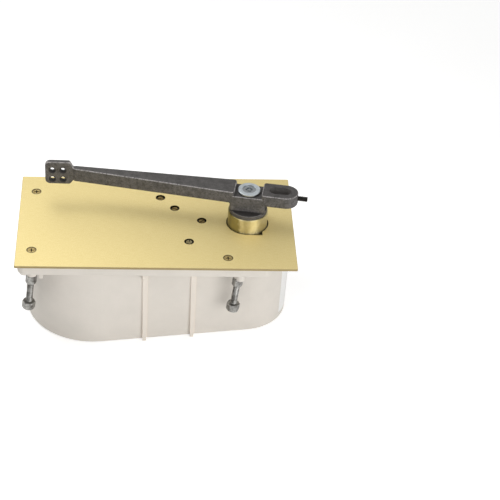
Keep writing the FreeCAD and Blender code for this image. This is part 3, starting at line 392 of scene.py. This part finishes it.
def stove_enamel_cream():
    # Cream stove enamel on the cement case: satin, slightly uneven, with a fine orange peel of about 1.5 mm.
    # It lies thicker and paler on the two ribs of each wall, and is chipped here and there.
    made, tree, shader, place = start_finish("stove_enamel_cream")
    cloud = add(tree, "TexNoise", Vector=place, Scale=per_mm(60), Detail=6.0, Roughness=0.65)
    wall = add(tree, "ValToRGB", stops=((0.3, linear("#D4CEC5")), (0.7, linear("#DED7CE"))),
               Fac=cloud.outputs["Fac"])
    sides = add(tree, "SeparateXYZ", Vector=place).outputs
    share = add(tree, "MapRange", Value=sides["X"], From_Min=RIB_SPAN[0] * MM, From_Max=RIB_SPAN[1] * MM)
    faded = RIB_HALF + RIB_EDGE
    stops = []
    for x in RIB_X:
        for off, level in ((-faded, 0.0), (-RIB_HALF, 1.0), (RIB_HALF, 1.0), (faded, 0.0)):
            stops.append(((x + off - RIB_SPAN[0]) / (RIB_SPAN[1] - RIB_SPAN[0]), grey(level)))
    on_rib = add(tree, "ValToRGB", stops=stops, Fac=share.outputs["Result"])
    under_rim = add(tree, "MapRange", Value=sides["Z"], From_Min=(RIB_TOP_Z + RIB_EDGE) * MM,
                    From_Max=RIB_TOP_Z * MM)
    thick = add(tree, "Math", {"operation": "MULTIPLY"},
                ins={0: on_rib.outputs["Color"], 1: under_rim.outputs["Result"]})
    enamel = add(tree, "Mix", {"data_type": "RGBA"}, ins={6: wall.outputs["Color"], 7: linear("#E6DDD2")},
                 Factor=thick.outputs[0])
    cells = add(tree, "TexVoronoi", Vector=place, Scale=per_mm(CHIP_EVERY))
    chip = add(tree, "MapRange", Value=cells.outputs["Distance"], From_Min=CHIP_R / CHIP_EVERY,
               From_Max=CHIP_BARE * CHIP_R / CHIP_EVERY)
    tone = add(tree, "Mix", {"data_type": "RGBA"}, ins={6: enamel.outputs[2], 7: linear("#6E665B")},
               Factor=chip.outputs["Result"])
    peel = add(tree, "TexNoise", Vector=place, Scale=per_mm(1.5), Detail=2.0)
    gloss = add(tree, "MapRange", Value=cloud.outputs["Fac"], To_Min=0.42, To_Max=0.55)
    relief = add(tree, "Bump", Height=peel.outputs["Fac"], Strength=0.3, Distance=0.2 * MM)
    wire(tree, shader, Base_Color=tone.outputs[2], Roughness=gloss.outputs["Result"],
         Normal=relief.outputs["Normal"], Specular_IOR_Level=0.4)
    return made


# Middle of the four countersunk holes in the arm's paddle, their spacing, and the radius and soft edge of the
# painted shade in the sinks
HOLES_MIDDLE = (-233.0, 0.0, 41.5)
HOLE_SPAN = 13.0
SINK_R = 4.2
SINK_EDGE = 0.6
# Height just above the foot of the arm's hub block, depths below it and how much painted shade lies there
FOOT_TOP_Z = 27.0
FOOT_SHADE = ((0.4, 0.0), (1.0, 1.0), (2.2, 1.0), (2.9, 0.25))
# Middle of the slot in the arm's tail, a radius that holds the slot but not the tail's sides, its soft edge
SLOT_MIDDLE = (37.1, -6.9, 45.0)
SLOT_R = 13.6
SLOT_EDGE = 0.5
# Height of the slot's top, depths below it and how much painted light lies there
SLOT_TOP_Z = 52.0
SLOT_LIGHT = ((0.2, 0.0), (0.8, 0.15), (12.5, 1.0), (14.0, 1.0), (14.5, 0.0))


def forged_steel_scale():
    # Drop-forged steel left with its dark scale: grey, mottled from 7 mm down to a fine grain, and pitted.
    # The pits are about 0.8 mm across and are drawn at 2 mm so that they show.
    # Faces that tilt upwards, such as the rounded upper edges, carry a painted highlight broken up like
    # rubbed metal. The pits are dark with oil. The foot of the hub and the countersinks are darkened as
    # painted shade, and so are the faces that look up.
    # The tail's slot is painted paler as painted light on its shaded floor and walls.
    made, tree, shader, place = start_finish("forged_steel_scale")
    cloud = add(tree, "TexNoise", Vector=place, Scale=per_mm(7), Detail=6.0, Roughness=0.75)
    pits = add(tree, "TexNoise", Vector=place, Scale=per_mm(2.0), Detail=4.0, Roughness=0.7)
    scale = add(tree, "ValToRGB", stops=((0.3, linear("#3D3B3A")), (0.7, linear("#6B6866"))),
                Fac=cloud.outputs["Fac"])
    normal = tree.nodes["Texture Coordinate"].outputs["Normal"]
    upward = add(tree, "SeparateXYZ", Vector=normal).outputs["Z"]
    # painted highlight: faces that tilt upwards, such as the rounded upper edges, are lighter, broken up like
    # rubbed metal
    edge = add(tree, "ValToRGB", stops=(
        (0.2, grey(0.0)), (0.5, grey(1.0)), (0.8, grey(1.0)), (0.97, grey(0.0))), Fac=upward)
    highlight_break_up = add(tree, "MapRange", Value=pits.outputs["Fac"], From_Min=0.35, From_Max=0.6, To_Min=0.45)
    share = add(tree, "Math", {"operation": "MULTIPLY"},
                ins={0: edge.outputs["Color"], 1: highlight_break_up.outputs["Result"]})
    painted_highlight = add(tree, "Mix", {"data_type": "RGBA"}, ins={6: scale.outputs["Color"], 7: linear("#A8A4A2")},
               Factor=share.outputs[0])
    height = add(tree, "SeparateXYZ", Vector=place).outputs["Z"]
    hollow = add(tree, "MapRange", Value=pits.outputs["Fac"], From_Min=0.5, From_Max=0.34, To_Max=0.8)
    # painted shade: the faces that look up are darkened
    film_and_top_shade = add(tree, "MapRange", Value=upward, From_Min=0.9, To_Max=0.4)
    middle = [at * MM for at in HOLES_MIDDLE]
    half = [HOLE_SPAN / 2 * MM, 0, HOLE_SPAN / 2 * MM]
    out = distance_from_axes(tree, place, middle, half, (1, 0, 1))
    # painted shade in the countersinks
    sink_shade = add(tree, "MapRange", Value=out, From_Min=(SINK_R + SINK_EDGE) * MM, From_Max=SINK_R * MM)
    # painted shade: dark at the foot of the hub block, in the countersinks and on the faces that look up; the
    # pits are dark with oil
    oil_and_shade = level_by_depth(tree, height, FOOT_TOP_Z * MM, FOOT_SHADE)
    for more in (hollow, film_and_top_shade, sink_shade):
        oil_and_shade = add(tree, "Math", {"operation": "MAXIMUM"}, ins={0: oil_and_shade, 1: more.outputs["Result"]}).outputs[0]
    oiled_and_shaded = add(tree, "Mix", {"data_type": "RGBA"}, ins={6: painted_highlight.outputs[2], 7: linear("#302D2B")},
                Factor=oil_and_shade)
    out = distance_from_axes(tree, place, [at * MM for at in SLOT_MIDDLE], (0, 0, 0), (1, 1, 0))
    within = add(tree, "MapRange", Value=out, From_Min=(SLOT_R + SLOT_EDGE) * MM, From_Max=SLOT_R * MM)
    deep = level_by_depth(tree, height, SLOT_TOP_Z * MM, SLOT_LIGHT)
    slot_light = add(tree, "Math", {"operation": "MULTIPLY"}, ins={0: within.outputs["Result"], 1: deep})
    # painted light: the shaded floor and walls of the tail's slot are paler
    tone = add(tree, "Mix", {"data_type": "RGBA"}, ins={6: oiled_and_shaded.outputs[2], 7: linear("#8E8A86")},
               Factor=slot_light.outputs[0])
    gloss = add(tree, "MapRange", Value=pits.outputs["Fac"], To_Min=0.5, To_Max=0.75)
    relief = add(tree, "Bump", Height=pits.outputs["Fac"], Strength=0.7, Distance=0.5 * MM)
    wire(tree, shader, Base_Color=tone.outputs[2], Roughness=gloss.outputs["Result"],
         Normal=relief.outputs["Normal"], Metallic=0.15)
    return made


# Depths below the top of the arm bolt and how much painted shade lies there
BOLT_SHADE = ((0.3, 0.0), (0.9, 1.0), (1.9, 1.0), (2.1, 0.0), (2.4, 0.0), (2.7, 1.0))


def bright_zinc():
    # Bright zinc plating on steel: bluish silver with a faint cloudy spangle of about 4 mm.
    # Below the rim of its head it is painted grey as painted shade, except the pin in the socket, which keeps
    # the plating's colour.
    made, tree, shader, place = start_finish("bright_zinc")
    spangle = add(tree, "TexNoise", Vector=place, Scale=per_mm(4), Detail=3.0)
    plating = add(tree, "ValToRGB", stops=((0.3, linear("#C6CED2")), (0.7, linear("#DEE5E9"))),
                  Fac=spangle.outputs["Fac"])
    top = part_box("arm_bolt")[1].z
    height = add(tree, "SeparateXYZ", Vector=place).outputs["Z"]
    # painted shade: grey in the socket and on the sides below the head's rim
    tone = add(tree, "Mix", {"data_type": "RGBA"}, ins={6: plating.outputs["Color"], 7: linear("#A4A8AA")},
               Factor=level_by_depth(tree, height, top, BOLT_SHADE))
    gloss = add(tree, "MapRange", Value=spangle.outputs["Fac"], To_Min=0.3, To_Max=0.42)
    wire(tree, shader, Base_Color=tone.outputs[2], Roughness=gloss.outputs["Result"], Metallic=1.0)
    return made


def dull_plated_steel():
    # Old plated steel bolts: grey, dull, browner where the plating has worn in patches of about 5 mm
    made, tree, shader, place = start_finish("dull_plated_steel")
    wear = add(tree, "TexNoise", Vector=place, Scale=per_mm(5), Detail=5.0, Roughness=0.65)
    tone = add(tree, "ValToRGB", stops=((0.34, linear("#5A5753")), (0.62, linear("#A5A4A0"))),
               Fac=wear.outputs["Fac"])
    gloss = add(tree, "MapRange", Value=wear.outputs["Fac"], To_Min=0.5, To_Max=0.28)
    relief = add(tree, "Bump", Height=wear.outputs["Fac"], Strength=0.2, Distance=0.15 * MM)
    wire(tree, shader, Base_Color=tone.outputs["Color"], Roughness=gloss.outputs["Result"],
         Normal=relief.outputs["Normal"], Metallic=0.85)
    return made


def black_oxide():
    # Blackened set screw: near black with an oily sheen that varies over about 2 mm
    made, tree, shader, place = start_finish("black_oxide")
    film_and_top_shade = add(tree, "TexNoise", Vector=place, Scale=per_mm(2), Detail=4.0)
    tone = add(tree, "ValToRGB", stops=((0.3, linear("#242220")), (0.7, linear("#474341"))),
               Fac=film_and_top_shade.outputs["Fac"])
    gloss = add(tree, "MapRange", Value=film_and_top_shade.outputs["Fac"], To_Min=0.3, To_Max=0.5)
    wire(tree, shader, Base_Color=tone.outputs["Color"], Roughness=gloss.outputs["Result"], Metallic=0.6)
    return made


def ground_steel():
    # Ground and hardened steel of the working parts: light grey with fine scratches drawn at 0.5 mm
    made, tree, shader, place = start_finish("ground_steel")
    stretch = add(tree, "Mapping", Vector=place, Scale=(per_mm(12), per_mm(0.5), per_mm(12)))
    scratch = add(tree, "TexNoise", Vector=stretch.outputs["Vector"], Scale=1.0, Detail=3.0)
    tone = add(tree, "ValToRGB", stops=((0.3, linear("#A6A8AA")), (0.7, linear("#C4C6C8"))),
               Fac=scratch.outputs["Fac"])
    gloss = add(tree, "MapRange", Value=scratch.outputs["Fac"], To_Min=0.2, To_Max=0.4)
    wire(tree, shader, Base_Color=tone.outputs["Color"], Roughness=gloss.outputs["Result"], Metallic=1.0)
    return made


def peened_spring_steel():
    # Shot-peened spring wire: dark grey with dimples of about 0.8 mm
    made, tree, shader, place = start_finish("peened_spring_steel")
    dimples = add(tree, "TexVoronoi", Vector=place, Scale=per_mm(0.8))
    tone = add(tree, "ValToRGB", stops=((0.1, linear("#6B6D70")), (0.7, linear("#4E5054"))),
               Fac=dimples.outputs["Distance"])
    relief = add(tree, "Bump", Height=dimples.outputs["Distance"], Strength=0.3, Distance=0.1 * MM)
    wire(tree, shader, Base_Color=tone.outputs["Color"], Normal=relief.outputs["Normal"], Metallic=1.0,
         Roughness=0.45)
    return made


def sand_cast_iron():
    # Grey iron from a sand mould: dark, matt, with a grain of about 0.7 mm
    made, tree, shader, place = start_finish("sand_cast_iron")
    grit = add(tree, "TexNoise", Vector=place, Scale=per_mm(0.7), Detail=4.0, Roughness=0.7)
    tone = add(tree, "ValToRGB", stops=((0.3, linear("#47474A")), (0.7, linear("#5E5E61"))),
               Fac=grit.outputs["Fac"])
    relief = add(tree, "Bump", Height=grit.outputs["Fac"], Strength=0.5, Distance=0.3 * MM)
    wire(tree, shader, Base_Color=tone.outputs["Color"], Normal=relief.outputs["Normal"], Metallic=0.5,
         Roughness=0.65)
    return made


def bearing_bronze():
    # Turned bearing bronze: reddish gold with faint rings drawn at 0.8 mm
    made, tree, shader, place = start_finish("bearing_bronze")
    rings = add(tree, "TexWave", {"bands_direction": "Z"}, Vector=place, Scale=per_mm(0.8) / WAVES_PER_UNIT,
                Distortion=0.4)
    tone = add(tree, "ValToRGB", stops=((0.2, linear("#A8824A")), (0.8, linear("#BF9A5E"))),
               Fac=rings.outputs["Fac"])
    wire(tree, shader, Base_Color=tone.outputs["Color"], Metallic=1.0, Roughness=0.32)
    return made


def fibre_gasket():
    # Pressed fibre gasket: dark brown-grey with short fibres of about 1 mm
    made, tree, shader, place = start_finish("fibre_gasket")
    fibre = add(tree, "TexNoise", Vector=place, Scale=per_mm(1.0), Detail=5.0, Roughness=0.7)
    tone = add(tree, "ValToRGB", stops=((0.3, linear("#332F2B")), (0.7, linear("#4A453F"))),
               Fac=fibre.outputs["Fac"])
    wire(tree, shader, Base_Color=tone.outputs["Color"], Roughness=0.85)
    return made


def nitrile_rubber():
    # Nitrile oil seal: black, smooth and dull, with a bloom that clouds it at about 3 mm
    made, tree, shader, place = start_finish("nitrile_rubber")
    bloom = add(tree, "TexNoise", Vector=place, Scale=per_mm(3), Detail=3.0)
    tone = add(tree, "ValToRGB", stops=((0.3, linear("#171717")), (0.7, linear("#232323"))),
               Fac=bloom.outputs["Fac"])
    wire(tree, shader, Base_Color=tone.outputs["Color"], Roughness=0.55)
    return made


FINISHES = (
    (stove_enamel_cream(), ("cement_case",)),
    (satin_lacquered_brass(), ("cover_plate",)),
    (collar_brass_painted_shade(), ("spindle_collar",)),
    (turned_brass(), ("filler_plug",)),
    (screw_brass_painted_shade(), ("cover_plate_screws",)),
    (oiled_bronze(), ("latch_valve", "sweep_valve", "backcheck_valve")),
    (forged_steel_scale(), ("door_arm",)),
    (bright_zinc(), ("arm_bolt",)),
    (dull_plated_steel(), (
        "levelling_bolt_left_front", "levelling_bolt_left_back", "levelling_bolt_right_front",
        "levelling_bolt_right_back", "levelling_nuts", "hold_down_screws", "lid_screws")),
    (black_oxide(), ("arm_adjusting_screw",)),
    (ground_steel(), (
        "spindle", "lower_bearing_race", "bearing_balls", "upper_bearing_race", "cam_key", "cam",
        "drive_roller", "roller_pin", "guide_rods", "damper_cylinder", "piston", "piston_ring",
        "check_ball", "piston_rod")),
    (peened_spring_steel(), ("closing_spring",)),
    (sand_cast_iron(), ("closer_body", "body_lid", "crosshead", "spring_abutment")),
    (bearing_bronze(), ("spindle_bush", "cylinder_gland")),
    (fibre_gasket(), ("body_gasket", "filler_washer")),
    (nitrile_rubber(), ("oil_seal",)),
)
for finish, names in FINISHES:
    for name in names:
        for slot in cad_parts[name].material_slots:
            slot.material = finish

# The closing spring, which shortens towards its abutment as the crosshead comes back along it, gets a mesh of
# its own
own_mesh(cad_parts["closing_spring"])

# Plain blank label on the case's small round end: its radius at top and foot, and the angles that it spans
CASE_END_X = -4.0
LABEL_TOP_Z = -24.0
LABEL_FOOT_Z = -115.5
LABEL_TOP_R = 58.83
LABEL_FOOT_R = 56.76
LABEL_FROM = -35.0
LABEL_TO = 24.0
LABEL_THICK = 0.2
LABEL_STEPS = 240
LABEL_SMOOTH = math.radians(30)
# Radius of a corner, and the slopes in degrees of the chords that cut it
LABEL_CORNER = 3.0
LABEL_CUTS = (18, 36, 54, 72)


def pressed_paper():
    # Blank self-adhesive paper label: matt white with a fibre grain of about 0.8 mm, drawn at 1.5 mm
    made, tree, shader, place = start_finish("pressed_paper")
    fibre = add(tree, "TexNoise", Vector=place, Scale=per_mm(1.5), Detail=4.0)
    tone = add(tree, "ValToRGB", stops=((0.3, linear("#E6E5E2")), (0.7, linear("#EEEDEB"))),
               Fac=fibre.outputs["Fac"])
    relief = add(tree, "Bump", Height=fibre.outputs["Fac"], Strength=0.05, Distance=0.05 * MM)
    wire(tree, shader, Base_Color=tone.outputs["Color"], Normal=relief.outputs["Normal"], Roughness=0.6)
    return made


def choose(piece):
    # Select one piece alone and make it the active one
    deselect_all()
    piece.select_set(True)
    bpy.context.view_layer.objects.active = piece


def pick_faces(piece, test):
    # Select the faces of a piece in edit mode whose middles pass a test
    shape = bmesh.from_edit_mesh(piece.data)
    bpy.ops.mesh.select_all(action="DESELECT")
    bpy.ops.mesh.select_mode(type="FACE")
    for face in shape.faces:
        if test(face.calc_center_median()):
            face.select_set(True)
    shape.select_flush_mode()
    bmesh.update_edit_mesh(piece.data)


def beside_label(at):
    # Whether a point lies past the label's sides, going round the axis of the case's small end
    angle = math.degrees(math.atan2(at.y, at.x - CASE_END_X * MM))
    return not LABEL_FROM < angle < LABEL_TO


def round_corner(side, angle, end, z, r):
    # Cut one corner of the label along an arc, a short chord at a time
    along = Vector((-math.sin(angle), math.cos(angle), 0)) * side
    upright = Vector((0, 0, end))
    corner = Vector((CASE_END_X + r * math.cos(angle), r * math.sin(angle), z)) * MM
    centre = corner - LABEL_CORNER * MM * (along + upright)
    for lean in LABEL_CUTS:
        outward = math.cos(math.radians(lean)) * along + math.sin(math.radians(lean)) * upright
        on_arc = centre + LABEL_CORNER * MM * outward
        bpy.ops.mesh.select_all(action="SELECT")
        bpy.ops.mesh.bisect(plane_co=on_arc, plane_no=outward, clear_outer=True)


deselect_all()
bpy.ops.mesh.primitive_cone_add(
    vertices=LABEL_STEPS, radius1=LABEL_FOOT_R * MM, radius2=LABEL_TOP_R * MM,
    depth=(LABEL_TOP_Z - LABEL_FOOT_Z) * MM, end_fill_type="NOTHING",
    location=(CASE_END_X * MM, 0, (LABEL_TOP_Z + LABEL_FOOT_Z) / 2 * MM))
label = bpy.context.active_object
label.name = "blank_label"
choose(label)
bpy.ops.object.transform_apply(location=True, rotation=True, scale=True)
bpy.ops.object.mode_set(mode="EDIT")
pick_faces(label, beside_label)
bpy.ops.mesh.delete(type="FACE")
for side, angle in ((-1, math.radians(LABEL_FROM)), (1, math.radians(LABEL_TO))):
    for end, z, r in ((-1, LABEL_FOOT_Z, LABEL_FOOT_R), (1, LABEL_TOP_Z, LABEL_TOP_R)):
        round_corner(side, angle, end, z, r)
bpy.ops.mesh.select_all(action="DESELECT")
bpy.ops.object.mode_set(mode="OBJECT")
paper = label.modifiers.new("thickness", "SOLIDIFY")
paper.thickness = LABEL_THICK * MM
paper.offset = 1.0
choose(label)
bpy.ops.object.modifier_apply(modifier=paper.name)
bpy.ops.object.shade_smooth_by_angle(angle=LABEL_SMOOTH)
label.data.materials.append(pressed_paper())
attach(label, "pit")
